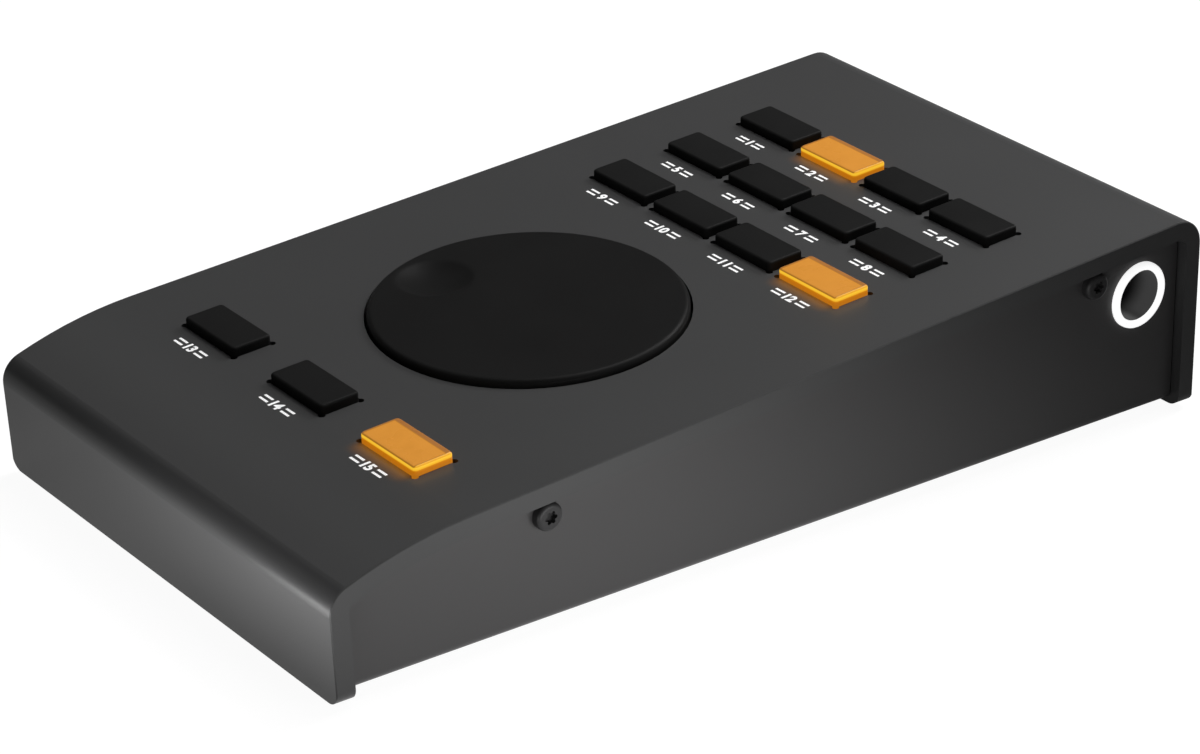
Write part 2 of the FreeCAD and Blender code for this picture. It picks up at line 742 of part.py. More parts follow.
for name, shape in make_all().items():
    shape.exportStep("parts/%s.step" % name)
    print(name, "solids", len(shape.Solids), "valid", shape.isValid(), "volume %.1f" % shape.Volume)
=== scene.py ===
import math

import bpy
import numpy as np
from mathutils import Matrix


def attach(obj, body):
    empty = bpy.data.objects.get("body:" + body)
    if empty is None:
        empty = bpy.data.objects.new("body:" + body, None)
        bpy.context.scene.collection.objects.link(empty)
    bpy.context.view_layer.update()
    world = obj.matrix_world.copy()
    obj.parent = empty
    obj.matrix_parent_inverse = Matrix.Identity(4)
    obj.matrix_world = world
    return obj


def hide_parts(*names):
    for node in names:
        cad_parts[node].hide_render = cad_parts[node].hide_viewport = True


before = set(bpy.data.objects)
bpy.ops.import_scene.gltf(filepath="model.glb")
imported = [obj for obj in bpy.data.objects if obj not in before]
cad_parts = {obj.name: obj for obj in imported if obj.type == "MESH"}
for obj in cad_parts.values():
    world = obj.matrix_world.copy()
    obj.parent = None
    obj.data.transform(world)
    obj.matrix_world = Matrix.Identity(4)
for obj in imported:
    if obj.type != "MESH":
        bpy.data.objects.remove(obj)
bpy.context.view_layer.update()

# Top cover: one 3.9 mm aluminium sheet, bent down at the front and the rear,
# with the key windows and the wheel's round opening cut through its slope.
# It has a fine satin charcoal finish, a little rougher where fine grains lie,
# and a warm glow painted on as emission beside the lit keys.
MM = 0.001
PLATE_HEIGHT = 35.3
PLATE_SLOPE = math.radians(4.3)
BLACK = (0.0, 0.0, 0.0)
WHITE = (1.0, 1.0, 1.0)


def on_plate(x, v, h):
    """Points in metres from millimetres on the plate: x to the right, v up the slope, h square to it."""
    y = v * math.cos(PLATE_SLOPE) - h * math.sin(PLATE_SLOPE)
    z = PLATE_HEIGHT + v * math.sin(PLATE_SLOPE) + h * math.cos(PLATE_SLOPE)
    return np.stack(np.broadcast_arrays(x, y, z), axis=-1) * MM


class Wire:
    """A shader socket that can stand in a sum: each operator adds its Math node."""

    def __init__(self, tree, socket):
        self.tree = tree
        self.socket = socket

    def node(self, kind, settings=None, inputs=None, output=0):
        """Add a node: its settings first, then the values or links of its sockets."""
        made = self.tree.nodes.new(kind)
        settings = dict(settings or {})
        stops = settings.pop("stops", None)
        for key, value in settings.items():
            setattr(made, key, value)
        if stops:
            ramp = made.color_ramp
            while len(ramp.elements) < len(stops):
                ramp.elements.new(1.0)
            for element, (place, colour) in zip(ramp.elements, stops):
                element.position = place
                element.color = (*colour, 1.0)
        for key, value in (inputs or {}).items():
            if isinstance(value, Wire):
                self.tree.links.new(value.socket, made.inputs[key])
            else:
                made.inputs[key].default_value = value
        return Wire(self.tree, made.outputs[output])

    def math(self, operation, first, second=0.0):
        """A sum of two numbers or wires, of the kind that the operation names."""
        return self.node("ShaderNodeMath", {"operation": operation}, {0: first, 1: second})

    def __add__(self, other):
        return self.math("ADD", self, other)

    def __sub__(self, other):
        return self.math("SUBTRACT", self, other)

    def __rsub__(self, other):
        return self.math("SUBTRACT", other, self)

    def __mul__(self, other):
        return self.math("MULTIPLY", self, other)

    __radd__ = __add__
    __rmul__ = __mul__

    def size_of(self):
        """The number without its sign."""
        return self.math("ABSOLUTE", self)

    def or_more(self, other):
        """The larger of this number and the other."""
        return self.math("MAXIMUM", self, other)

    def part(self, index):
        """One of the three numbers of a point."""
        return self.node("ShaderNodeSeparateXYZ", None, {0: self}, index)

    def noise(self, per_metre, detail=2.0, roughness=0.5):
        """Smooth noise from 0 to 1 with this many grains to the metre."""
        return self.node("ShaderNodeTexNoise", None,
                         {"Vector": self, "Scale": per_metre, "Detail": detail, "Roughness": roughness})

    def between(self, low, high):
        """A number spread from 0 at low to 1 at high, held at both ends and eased."""
        return self.node("ShaderNodeMapRange", {"interpolation_type": "SMOOTHSTEP"},
                         {"Value": self, "From Min": low, "From Max": high})

    def ramp(self, low, high, stops):
        """A colour from stops, each a place from 0 at low to 1 at high and the colour there."""
        share = self.node("ShaderNodeMapRange", None, {"Value": self, "From Min": low, "From Max": high})
        return share.node("ShaderNodeValToRGB", {"stops": stops}, {0: share})

    def tint(self, dark, light):
        """A colour from dark at 0 to light at 1."""
        return self.node("ShaderNodeMix", {"data_type": "RGBA"},
                         {0: self, 6: as_colour(dark), 7: as_colour(light)}, 2)


def as_colour(value):
    """Four numbers of a colour, or the wire that already carries one."""
    return value if isinstance(value, Wire) else (*value, 1.0)


def finish(name, **fixed):
    """A new material, its Object coordinates as a wire, and a function that feeds its shader."""
    material = bpy.data.materials.new(name)
    material.use_nodes = True
    tree = material.node_tree
    shader = tree.nodes["Principled BSDF"]
    for key, value in fixed.items():
        shader.inputs[key.replace("_", " ")].default_value = value
    place = Wire(tree, tree.nodes.new("ShaderNodeTexCoord").outputs["Object"])

    def feed(**wires):
        for key, wire in wires.items():
            tree.links.new(wire.socket, shader.inputs[key.replace("_", " ")])

    return material, place, feed


def grain_bump(height, depth, strength):
    """Normal of a surface whose height runs from 0 to depth metres."""
    return height.node("ShaderNodeBump", None, {"Height": height, "Distance": depth, "Strength": strength})


def dress(material, *nodes):
    """Give carried-over pieces their finish."""
    for name in nodes:
        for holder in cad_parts[name].material_slots:
            holder.material = material


def x_of(place):
    """Distance to the right, in millimetres, as a wire."""
    return place.part(0) * (1 / MM)


def v_of(place):
    """Distance up the slope, in millimetres, as a wire."""
    forward = place.part(1) * math.cos(PLATE_SLOPE)
    upward = (place.part(2) - PLATE_HEIGHT * MM) * math.sin(PLATE_SLOPE)
    return (forward + upward) * (1 / MM)


def shades(colour):
    """The darker and the lighter shade of a mottled coat."""
    return [0.90 * c for c in colour], [1.10 * c for c in colour]


# places of the keys: three rows of four behind the wheel and a row of three before it
KEY_PITCH = 19.0
KEY_ROWS_V = (63.725, 44.725, 25.725)
FRONT_V = -70.294
FRONT_PITCH = 28.5
LIT_KEYS = (2, 12, 15)
CAP_LENGTH = 16.6
CAP_WIDTH = 8.4
key_centres = [((column - 1.5) * KEY_PITCH, v) for v in KEY_ROWS_V for column in range(4)]
key_centres += [((column - 1) * FRONT_PITCH, FRONT_V) for column in range(3)]
lit_centres = [key_centres[number - 1] for number in LIT_KEYS]

COVER_GREY = (0.050, 0.050, 0.0505)
GLOW_REACH = 4.4
GLOW_COLOUR = (1.0, 0.36, 0.01)
cover_finish, place, feed = finish("cover_charcoal_satin", Specular_IOR_Level=0.30, Emission_Strength=0.17)
grain = place.noise(4200.0, 3.0, 0.6)
cloud = place.noise(38.0, 2.0)
tone = (grain - 0.5) * 0.5 + (cloud - 0.5) * 0.25 + 0.5
# painted glow: the cover itself emits warm light under the near side of each lit key, fading within
# GLOW_REACH
painted_key_glow = 0.0
for x, v in lit_centres:
    past_end = (x_of(place) - x).size_of() - CAP_LENGTH / 2
    before = (v - CAP_WIDTH / 2) - v_of(place)
    beside = past_end.between(0.8, -2.2)
    painted_key_glow = beside * before.between(GLOW_REACH, -0.3) * before.between(-2.0, -0.6) + painted_key_glow
feed(Base_Color=tone.tint(*shades(COVER_GREY)),
     Emission_Color=painted_key_glow.tint(BLACK, GLOW_COLOUR),
     Roughness=grain * 0.08 + cloud * 0.04 + 0.30,
     Normal=grain_bump(grain, 0.00002, 0.35))
dress(cover_finish, "top_cover")

# Base tray: thinner sheet folded up into two cheeks that fill the cover's open
# sides. Its coating is a touch warmer and more matt than the cover's.
TRAY_GREY = (0.054, 0.0525, 0.053)
tray_finish, place, feed = finish("tray_warm_satin", Specular_IOR_Level=0.30)
grain = place.noise(3600.0, 3.0, 0.6)
cloud = place.noise(30.0, 2.0)
tone = (grain - 0.5) * 0.5 + (cloud - 0.5) * 0.3 + 0.5
feed(Base_Color=tone.tint(*shades(TRAY_GREY)),
     Roughness=grain * 0.10 + cloud * 0.04 + 0.33,
     Normal=grain_bump(grain, 0.00002, 0.4))
dress(tray_finish, "base_tray")

# Feet: four round rubber discs stuck under the tray's corners, matt black with
# the dull bloom and slight scuffing that rubber gets where it meets the table.
feet_finish, place, feed = finish("feet_rubber", Specular_IOR_Level=0.2)
grain = place.noise(2600.0, 4.0, 0.65)
scuff = place.part(2).between(0.0008, 0.0)
feed(Base_Color=(scuff * grain).tint((0.018, 0.018, 0.018), (0.060, 0.058, 0.056)),
     Roughness=grain * 0.15 + 0.70,
     Normal=grain_bump(grain, 0.00004, 0.5))
dress(feet_finish, "rubber_feet")

# Side screws: pan-head steel with a six-lobe recess and a black oxide finish,
# two through each cheek into threaded blocks that are fixed under the plate.
screw_finish, place, feed = finish("screw_black_oxide", Metallic=0.35, Specular_IOR_Level=0.15)
rub = place.noise(900.0, 3.0, 0.6)
feed(Base_Color=rub.tint((0.026, 0.026, 0.027), (0.046, 0.045, 0.045)),
     Roughness=rub * 0.18 + 0.36,
     Normal=grain_bump(place.noise(7000.0, 2.0), 0.00001, 0.25))
dress(screw_finish, "side_screws")

aluminium_finish, place, feed = finish("machined_aluminium", Metallic=1.0)
lines = place.node("ShaderNodeTexWave", {"bands_direction": "Z"},
                   {"Vector": place, "Scale": 900.0, "Distortion": 0.6,
                    "Detail": 2.0, "Detail Scale": 3.0}, 1)
feed(Base_Color=lines.tint((0.50, 0.50, 0.51), (0.64, 0.64, 0.65)),
     Roughness=lines * 0.12 + 0.30,
     Normal=grain_bump(lines, 0.00001, 0.2))
dress(aluminium_finish, "screw_blocks", "board_standoffs", "io_standoffs")

# Circuit boards: the main board hangs under the plate on pillars and carries the
# switches and the encoder; the rear board carries the jack and the inlet. Both
# are glass laminate under a green solder mask, joined by a stacking header.
board_finish, place, feed = finish("board_green_mask", Specular_IOR_Level=0.4)
threads = {"Vector": place, "Scale": 420.0}
warp, weft = [place.node("ShaderNodeTexWave", {"bands_direction": way}, threads, 1) for way in "XY"]
weave = warp + weft
feed(Base_Color=(weave * 0.5).tint((0.012, 0.075, 0.030), (0.020, 0.115, 0.048)),
     Roughness=weave * 0.05 + 0.30,
     Normal=grain_bump(weave, 0.00001, 0.2))
dress(board_finish, "main_board", "io_board")

steel_finish, place, feed = finish("plated_steel", Metallic=1.0)
rub = place.noise(1500.0, 3.0)
feed(Base_Color=rub.tint((0.42, 0.42, 0.43), (0.60, 0.60, 0.61)),
     Roughness=rub * 0.20 + 0.20,
     Normal=grain_bump(rub, 0.00001, 0.2))
dress(steel_finish, "board_screws", "io_screws", "encoder_nut", "encoder_shaft", "encoder_body",
      "wheel_grub_screw", "inlet_shell")

# Switches and light frames: black moulded housings on the main board. A frame
# stands round each group of keys and keeps one key's light out of the next.
housing_finish, place, feed = finish("housing_black_moulding", Specular_IOR_Level=0.3)
grain = place.noise(3000.0, 3.0)
feed(Base_Color=grain.tint((0.012, 0.012, 0.012), (0.022, 0.022, 0.022)),
     Roughness=grain * 0.15 + 0.50,
     Normal=grain_bump(grain, 0.00002, 0.3))
dress(housing_finish, "key_switches", "rear_light_frame", "front_light_frame", "board_header",
      "jack_body")

lamp_finish, place, feed = finish("lamp_package", Specular_IOR_Level=0.4)
grain = place.noise(2200.0, 2.0)
feed(Base_Color=grain.tint((0.62, 0.55, 0.34), (0.80, 0.74, 0.52)),
     Roughness=grain * 0.2 + 0.35)
dress(lamp_finish, "key_lamps")

# Light blocks: one moulded block inside each cap, with a stem for the switch.
# Three are amber and lit, their light painted on as emission that is brightest
# just under their upper edges, and the others are smoky. The caps hide them from above.
CAP_RISE = 1.85
CAP_WALL = 0.75
CAP_SKIN = 0.22
CORE_FIT = 0.05
CORE_FOOT = -5.5
CORE_EDGE = 0.12
CORE_CORNER = 0.32
STEM_RADIUS = 1.6
STEM_LENGTH = 2.4
CORNER_STEPS = 6
CREASE = math.radians(35.0)


def rounded_outline(length, width, corner):
    """Closed outline of a rectangle with round corners, each a quarter circle about its own centre."""
    steps = CORNER_STEPS
    turn = np.linspace(0.0, math.pi / 2, steps)
    angle = (np.arange(4)[:, None] * math.pi / 2 + turn[None, :]).ravel()
    side = np.repeat([1.0, -1.0, -1.0, 1.0], steps)
    end = np.repeat([1.0, 1.0, -1.0, -1.0], steps)
    x = side * (length / 2 - corner) + corner * np.cos(angle)
    v = end * (width / 2 - corner) + corner * np.sin(angle)
    return x, v


def solid(name, rings, material, ring_shaped=False):
    """Mesh over rings of points, shape (rings, around, 3). Each point joins its neighbours in its own
    ring and the next. The last ring joins the first if ring_shaped, or else a flat lid closes each end."""
    rows, around = rings.shape[:2]
    row = np.arange(rows if ring_shaped else rows - 1)[:, None]
    here = np.arange(around)[None, :]
    after = (here + 1) % around
    above = (row + 1) % rows
    quads = np.stack([row * around + here, row * around + after,
                      above * around + after, above * around + here], axis=-1)
    points = rings.reshape(-1, 3)
    faces = quads.reshape(-1, 4)
    # the volume below the faces tells whether they point in or out
    corner = points[faces]
    middle = points.mean(axis=0)
    across = np.cross(corner[:, 2] - corner[:, 0], corner[:, 3] - corner[:, 1])
    outward = np.einsum("ij,ij->i", corner[:, 0] - middle, across).sum() > 0
    listed = (faces if outward else faces[:, ::-1]).tolist()
    if not ring_shaped:
        first, last = np.arange(around), np.arange(around) + (rows - 1) * around
        listed.append((first[::-1] if outward else first).tolist())
        listed.append((last if outward else last[::-1]).tolist())
    mesh = bpy.data.meshes.new(name)
    mesh.from_pydata(points.tolist(), [], listed)
    mesh.materials.append(material)
    mesh.shade_smooth()
    mesh.set_sharp_from_angle(angle=CREASE)
    piece = bpy.data.objects.new(name, mesh)
    bpy.context.scene.collection.objects.link(piece)
    return piece


def key_rings(x, v, profile):
    """Rings of a key-shaped piece from rows of length, width, corner and height about its centre."""
    rings = []
    for length, width, corner, height in profile:
        out_x, out_v = rounded_outline(length, width, corner)
        rings.append(on_plate(x + out_x, v + out_v, height))
    return np.array(rings)


def plate_height_of(place):
    """Height above the plate's face, in millimetres, as a wire."""
    rise = place.part(2) * (math.cos(PLATE_SLOPE) / MM) - place.part(1) * (math.sin(PLATE_SLOPE) / MM)
    return rise - PLATE_HEIGHT * math.cos(PLATE_SLOPE)


CORE_TOP = CAP_RISE - CAP_SKIN
core_length = CAP_LENGTH - 2 * (CAP_WALL + CORE_FIT)
core_width = CAP_WIDTH - 2 * (CAP_WALL + CORE_FIT)

core_lit, place, feed = finish("block_lit_amber", Specular_IOR_Level=0.2, Roughness=0.4,
                               Emission_Strength=1.0)
height = plate_height_of(place)
cloud = place.noise(260.0, 2.0)
# painted light: emission up the block's sides, brightest just under its top
side_light = height.ramp(-0.6, CORE_TOP, [
    (0.0, (0.30, 0.075, 0.004)), (0.45, (0.62, 0.19, 0.008)), (0.70, (0.80, 0.30, 0.012)),
    (0.84, (1.30, 0.80, 0.030)), (0.97, (1.25, 0.62, 0.022))])
top_share = height.between(CORE_TOP - 0.06, CORE_TOP - 0.005)
top_light = cloud.tint((0.70, 0.285, 0.050), (0.78, 0.33, 0.064))
glow = top_share.tint(side_light, top_light)
feed(Base_Color=cloud.tint((0.55, 0.20, 0.02), (0.65, 0.26, 0.03)), Emission_Color=glow)

core_dark, place, feed = finish("block_unlit_smoke", Specular_IOR_Level=0.1)
grain = place.noise(2400.0, 2.0)
feed(Base_Color=grain.tint((0.006, 0.006, 0.006), (0.012, 0.011, 0.011)), Roughness=grain * 0.2 + 0.5)

# length, width, corner and height of each ring, from the broken top edge down to the stem
core_profile = [
    (core_length - 2 * CORE_EDGE, core_width - 2 * CORE_EDGE, 0.25, CORE_TOP),
    (core_length - 0.6 * CORE_EDGE, core_width - 0.6 * CORE_EDGE, 0.30, CORE_TOP - 0.3 * CORE_EDGE),
    (core_length, core_width, CORE_CORNER, CORE_TOP - CORE_EDGE),
    (core_length, core_width, CORE_CORNER, CORE_TOP - 0.6),
    (core_length, core_width, CORE_CORNER, -1.0),
    (core_length, core_width, CORE_CORNER, CORE_FOOT),
    (2 * STEM_RADIUS, 2 * STEM_RADIUS, STEM_RADIUS, CORE_FOOT),
    (2 * STEM_RADIUS, 2 * STEM_RADIUS, STEM_RADIUS, CORE_FOOT - STEM_LENGTH),
]
for number, (x, v) in enumerate(key_centres, start=1):
    lit = number in LIT_KEYS
    block_finish = core_lit if lit else core_dark
    block = solid("light_block_%02d" % number, key_rings(x, v, core_profile), block_finish)
    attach(block, "key_%02d" % number)
    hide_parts("key_core_%02d" % number)

# Key caps: thin moulded shells that slip over the light blocks, with a round
# edge about the top and a flange that holds them under the plate. The lit ones
# glow amber by themselves, their light painted on as emission; the others
# look black, with a faint satin.
CAP_CORNER = 0.8
CAP_EDGE = 0.5
CAP_EDGE_STEPS = 6
INNER_CORNER = 0.35
SKIN_GAP = 0.02
FLANGE_TOP = -4.05
FLANGE_FOOT = -5.05
FLANGE_LIP = 0.5

cap_dark, place, feed = finish("cap_smoked_satin", Specular_IOR_Level=0.025)
grain = place.noise(5200.0, 2.0)
wipe = place.noise(120.0, 3.0, 0.6)
feed(Base_Color=wipe.tint((0.0125, 0.0125, 0.0125), (0.0152, 0.0151, 0.0150)),
     Roughness=grain * 0.06 + wipe * 0.10 + 0.30,
     Normal=grain_bump(grain, 0.00001, 0.2))

# the lit shell's light is painted on as emission: a painted darker seam where
# the block ends under the top, painted yellow light along the near edges,
# orange sides and dimmer far edges
SEAM_X = (-7.6, 7.9)
SEAM_V = (-4.08, 2.9)
SEAM_SHADE_STRENGTH = 0.65
MAP_SCALE = 100.0
cap_lit, place, feed = finish("cap_lit_amber", Specular_IOR_Level=0.12, Emission_Strength=1.0)
plan = place.node("ShaderNodeUVMap", {"uv_map": "cap_plan"})
along = (plan.part(0) - 0.5) * MAP_SCALE
across = (plan.part(1) - 0.5) * MAP_SCALE
past_near = (along - SEAM_X[1]).or_more(SEAM_V[0] - across)
past_far = (SEAM_X[0] - along).or_more(across - SEAM_V[1])
outside = past_near.or_more(past_far)
height = plate_height_of(place)
wipe = place.noise(150.0, 3.0, 0.6)
cloud = place.noise(420.0, 3.0, 0.6)
window = cloud.tint((0.400, 0.165, 0.020), (0.470, 0.200, 0.028))
painted_far_edge_light = wipe.tint((0.130, 0.052, 0.020), (0.170, 0.072, 0.028))
painted_edge_light = past_near.between(-0.06, 0.04).tint(painted_far_edge_light, (0.66, 0.34, 0.020))
painted_seam_shade = outside.between(-0.22, -0.06) * outside.between(0.12, 0.0)
top_glow = outside.between(0.0, 0.08).tint(window, painted_edge_light)
top_glow = (painted_seam_shade * SEAM_SHADE_STRENGTH).tint(top_glow, (0.17, 0.070, 0.002))
side_glow = height.ramp(-0.2, CAP_RISE, [
    (0.0, (0.42, 0.140, 0.008)), (0.40, (0.47, 0.140, 0.002)), (0.52, (0.56, 0.19, 0.002)),
    (0.64, (0.86, 0.48, 0.026)), (0.86, (0.92, 0.54, 0.034)), (1.0, (0.72, 0.37, 0.020))])
feed(Base_Color=wipe.tint((0.26, 0.10, 0.016), (0.30, 0.12, 0.020)),
     Emission_Color=height.between(CAP_RISE - 0.36, CAP_RISE - 0.24).tint(side_glow, top_glow),
     Roughness=wipe * 0.12 + 0.22)


def plan_map(piece, x, v):
    """A UV map of a key's piece: millimetres to the right of its centre and up the slope from it,
    over MAP_SCALE, with the centre at 0.5."""
    mesh = piece.data
    points = np.empty(len(mesh.vertices) * 3)
    mesh.vertices.foreach_get("co", points)
    points = points.reshape(-1, 3) / MM
    up = points[:, 1] * math.cos(PLATE_SLOPE) + (points[:, 2] - PLATE_HEIGHT) * math.sin(PLATE_SLOPE)
    corners = np.empty(len(mesh.loops), dtype=np.int32)
    mesh.loops.foreach_get("vertex_index", corners)
    plan = np.stack([points[:, 0] - x, up - v], axis=1)
    layer = mesh.uv_layers.new(name="cap_plan")
    layer.data.foreach_set("uv", (plan[corners] / MAP_SCALE + 0.5).ravel())


# length, width, corner and height of each ring: round edge, wall, flange and hollow
cap_profile = []
for angle in np.linspace(math.pi / 2, 0.0, CAP_EDGE_STEPS):
    inset = CAP_EDGE * (1 - math.cos(angle))
    drop = CAP_EDGE * (1 - math.sin(angle))
    cap_profile.append((CAP_LENGTH - 2 * inset, CAP_WIDTH - 2 * inset,
                        CAP_CORNER - 0.6 * inset, CAP_RISE - drop))
inner_length = CAP_LENGTH - 2 * CAP_WALL
inner_width = CAP_WIDTH - 2 * CAP_WALL
cap_profile += [
    (CAP_LENGTH, CAP_WIDTH, CAP_CORNER, FLANGE_TOP),
    (CAP_LENGTH + 2 * FLANGE_LIP, CAP_WIDTH + 2 * FLANGE_LIP, CAP_CORNER, FLANGE_TOP),
    (CAP_LENGTH + 2 * FLANGE_LIP, CAP_WIDTH + 2 * FLANGE_LIP, CAP_CORNER, FLANGE_FOOT),
    (inner_length, inner_width, INNER_CORNER, FLANGE_FOOT),
    (inner_length, inner_width, INNER_CORNER, CORE_TOP + SKIN_GAP),
]
for number, (x, v) in enumerate(key_centres, start=1):
    lit = number in LIT_KEYS
    cap = solid("key_%02d_cap" % number, key_rings(x, v, cap_profile), cap_lit if lit else cap_dark)
    plan_map(cap, x, v)
    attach(cap, "key_%02d" % number)
    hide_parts("key_cap_%02d" % number)

# Jog wheel: a turned aluminium disc, satin black, with a softly crowned top, a
# round edge, and one finger dimple whose rim runs smoothly into the top.
WHEEL_V = -22.2
WHEEL_RADIUS = 30.25
WHEEL_RISE = 1.4
WHEEL_CROWN = 0.25
WHEEL_EDGE = 1.1
WHEEL_EDGE_STEPS = 12
WHEEL_CHAMFER = 0.2
WHEEL_RING_STEP = 0.4
WHEEL_FOOT = -2.8
HUB_RADIUS = 6.0
HUB_FOOT = -7.8
BORE_RADIUS = 3.03
BORE_TOP = -1.6
DIMPLE_X = -19.6
DIMPLE_V = -7.4
DIMPLE_RADIUS = 7.5
DIMPLE_DEPTH = 1.8
DIMPLE_SOFTNESS = 0.14
AROUND = 288


def wheel_top(x, v):
    """Height of the wheel's top: a shallow sphere less the dimple. The dimple is a ball's surface
    below the rim and is joined to the top by a soft minimum, so that its rim is round."""
    away = np.hypot(x, v)
    ball = (WHEEL_RADIUS ** 2 + WHEEL_CROWN ** 2) / (2 * WHEEL_CROWN)
    top = WHEEL_RISE + WHEEL_CROWN - (ball - np.sqrt(ball ** 2 - away ** 2))
    scoop = (DIMPLE_RADIUS ** 2 + DIMPLE_DEPTH ** 2) / (2 * DIMPLE_DEPTH)
    reach = np.minimum(np.hypot(x - DIMPLE_X, v - DIMPLE_V), 0.98 * scoop)
    bowl = scoop - np.sqrt(scoop ** 2 - reach ** 2) - DIMPLE_DEPTH
    return top + 0.5 * (bowl - np.sqrt(bowl ** 2 + DIMPLE_SOFTNESS ** 2))


around = np.linspace(0.0, 2 * math.pi, AROUND, endpoint=False)
shoulder = WHEEL_RADIUS - WHEEL_EDGE
between_ends = np.arange(1.0, shoulder, WHEEL_RING_STEP)
radii = np.concatenate([[WHEEL_RING_STEP], between_ends, [shoulder]])[:, None]
flat_x, flat_v = radii * np.cos(around), radii * np.sin(around)
top_rings = on_plate(flat_x, WHEEL_V + flat_v, wheel_top(flat_x, flat_v))
shoulder_height = float(wheel_top(np.array(shoulder), np.array(0.0)))
turn = np.linspace(0.0, math.pi / 2, WHEEL_EDGE_STEPS)[1:]
round_edge = np.stack([shoulder + WHEEL_EDGE * np.sin(turn),
                       shoulder_height - WHEEL_EDGE * (1 - np.cos(turn))], axis=1)
side_and_hub = [
    (WHEEL_RADIUS, WHEEL_FOOT + WHEEL_CHAMFER), (WHEEL_RADIUS - WHEEL_CHAMFER, WHEEL_FOOT),
    (HUB_RADIUS, WHEEL_FOOT), (HUB_RADIUS, HUB_FOOT), (BORE_RADIUS, HUB_FOOT), (BORE_RADIUS, BORE_TOP)]
profile = np.concatenate([round_edge, side_and_hub])
radius, height = profile[:, :1], profile[:, 1:]
side_rings = on_plate(radius * np.cos(around), WHEEL_V + radius * np.sin(around), height)

wheel_finish, place, feed = finish("wheel_black_satin", Specular_IOR_Level=0.03)
grain = place.noise(3800.0, 3.0, 0.6)
wipe = place.noise(55.0, 3.0, 0.6)
feed(Base_Color=wipe.tint((0.0105, 0.0104, 0.0104), (0.0138, 0.0136, 0.0135)),
     Roughness=grain * 0.08 + wipe * 0.08 + 0.33,
     Normal=grain_bump(grain, 0.00001, 0.3))
wheel = solid("jog_wheel_disc", np.concatenate([top_rings, side_rings]), wheel_finish)
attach(wheel, "wheel")
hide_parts("jog_wheel")

# Jack socket: a white ring nut clamps the blackened sleeve in the right cheek,
# and the plug goes through the sleeve into the socket on the rear board.
JACK_V = 85.78
JACK_H = -13.3
RING_RADIUS = 6.8
RING_FACE = 53.05
RING_EDGE = 0.75
RING_FIT = 0.02
SLEEVE_BORE = 5.25
SLEEVE_CHAMFER = 0.1
SLEEVE_RADIUS = 5.9
SLEEVE_FOOT = 45.35
SLEEVE_FACE = 52.25
CHEEK_X = 51.85
JACK_AROUND = 96
ROUND_STEPS = 5


def turned_on_jack(profile):
    """Rings about the jack's axis from rows of x and radius."""
    angle = np.linspace(0.0, 2 * math.pi, JACK_AROUND, endpoint=False)
    rows = np.array(profile)
    radius = rows[:, 1:]
    x = rows[:, :1] + 0 * angle
    return on_plate(x, JACK_V + radius * np.cos(angle), JACK_H + radius * np.sin(angle))


def rounded_step(x, radius, size, turns):
    """Points of a quarter round of that size about x and radius, between two angles in quarter turns."""
    angle = np.linspace(turns[0], turns[1], ROUND_STEPS) * math.pi / 2
    return [(x + size * math.cos(a), radius + size * math.sin(a)) for a in angle]


# the ring nut also emits white light, a painted glow that keeps it bright
ring_white_painted_glow, place, feed = finish("ring_white_moulding", Specular_IOR_Level=0.3, Emission_Strength=0.85)
grain = place.noise(1800.0, 2.0)
feed(Base_Color=grain.tint((0.84, 0.84, 0.84), (0.90, 0.90, 0.90)),
     Emission_Color=grain.tint((0.97, 0.97, 0.97), WHITE),
     Roughness=grain * 0.1 + 0.35)
seat_radius = SLEEVE_RADIUS + RING_FIT
ring_profile = [(CHEEK_X, RING_RADIUS)]
ring_profile += rounded_step(RING_FACE - RING_EDGE, RING_RADIUS - RING_EDGE, RING_EDGE, (1, 0))
ring_profile += rounded_step(RING_FACE - RING_EDGE, SLEEVE_BORE + RING_EDGE, RING_EDGE, (0, -1))
ring_profile += [(SLEEVE_FACE, SLEEVE_BORE), (SLEEVE_FACE, seat_radius), (CHEEK_X, seat_radius)]
ring = solid("jack_ring_nut", turned_on_jack(ring_profile), ring_white_painted_glow, ring_shaped=True)
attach(ring, "housing")
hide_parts("jack_ring")

sleeve_metal, place, feed = finish("sleeve_turned_black", Metallic=1.0, Emission_Strength=1.0)
rings_cut = place.node("ShaderNodeTexWave", {"bands_direction": "X"},
                       {"Vector": place, "Scale": 1300.0, "Distortion": 0.3, "Detail": 1.0}, 1)
# painted light: emission stands in for soft light on the bore's rear side, with a painted streak low under
# its axis
rearward = v_of(place) - JACK_V
below = JACK_H - plate_height_of(place)
mouth = x_of(place).between(SLEEVE_FOOT - 0.5, SLEEVE_FOOT + 4.5)
painted_rear_light = rearward.between(-2.5, 3.0) * 0.045
painted_streak = rearward.between(-3.6, -1.4) * rearward.between(1.2, -1.0) * below.between(2.0, 4.6) * 0.070
painted_bore_light = (painted_rear_light + painted_streak) * mouth * (rings_cut * 0.2 + 0.8)
feed(Base_Color=rings_cut.tint((0.150, 0.150, 0.152), (0.200, 0.200, 0.203)),
     Emission_Color=painted_bore_light.tint(BLACK, WHITE),
     Roughness=rings_cut * 0.08 + 0.30,
     Normal=grain_bump(rings_cut, 0.00001, 0.15))
sleeve_profile = [(SLEEVE_FOOT, SLEEVE_RADIUS), (SLEEVE_FACE, SLEEVE_RADIUS),
                  (SLEEVE_FACE, SLEEVE_BORE + SLEEVE_CHAMFER), (SLEEVE_FACE - SLEEVE_CHAMFER, SLEEVE_BORE),
                  (SLEEVE_FOOT, SLEEVE_BORE)]
sleeve = solid("jack_sleeve_tube", turned_on_jack(sleeve_profile), sleeve_metal, ring_shaped=True)
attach(sleeve, "housing")
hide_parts("jack_sleeve")

